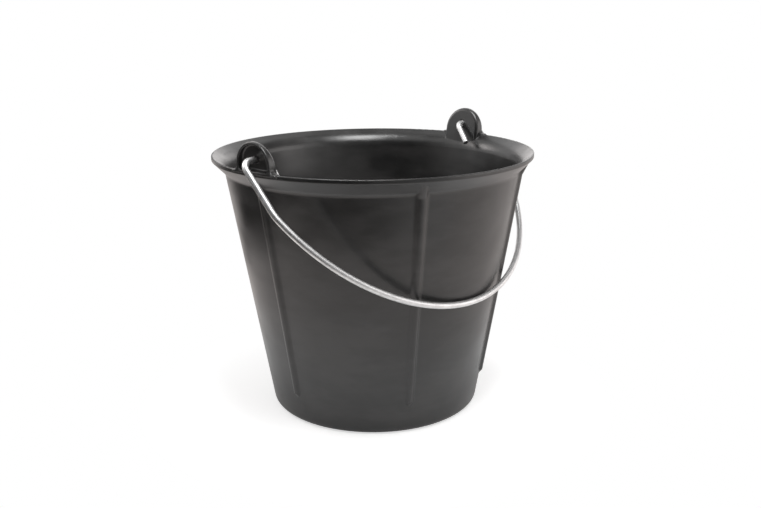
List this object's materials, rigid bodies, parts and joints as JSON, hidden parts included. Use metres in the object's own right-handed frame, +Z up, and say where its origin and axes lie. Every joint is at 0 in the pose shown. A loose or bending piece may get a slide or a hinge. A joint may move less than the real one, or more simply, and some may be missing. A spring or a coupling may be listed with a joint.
{
  "type": "builders bucket",
  "caption": "Tapered moulded plastic builders bucket with a flared rim, outside ribs, moulded ears and a swinging round-wire bail.",
  "frame": {"origin": "on the floor, at the middle of the bucket's base", "axes": "+Z up along the bucket's axis; +X along the bail's hinge axis, through both ears; the bail rests against the wall on the -Y side"},
  "size_m": [0.352, 0.3203, 0.2877],
  "materials": {
    "moulded_plastic": "black polyethylene, as moulded, satin",
    "galvanised_wire": "bright galvanised wire"
  },
  "bodies": {
    "bucket": {"bucket_body": "moulded_plastic"},
    "bail": {"bail_handle": "galvanised_wire"}
  },
  "joints": [
    {"name": "bail_swing", "type": "hinge", "parent": "bucket", "child": "bail", "pos_m": [0, 0, 0.2715], "axis": [-1, 0, 0], "range_deg": [0, 274]}
  ]
}
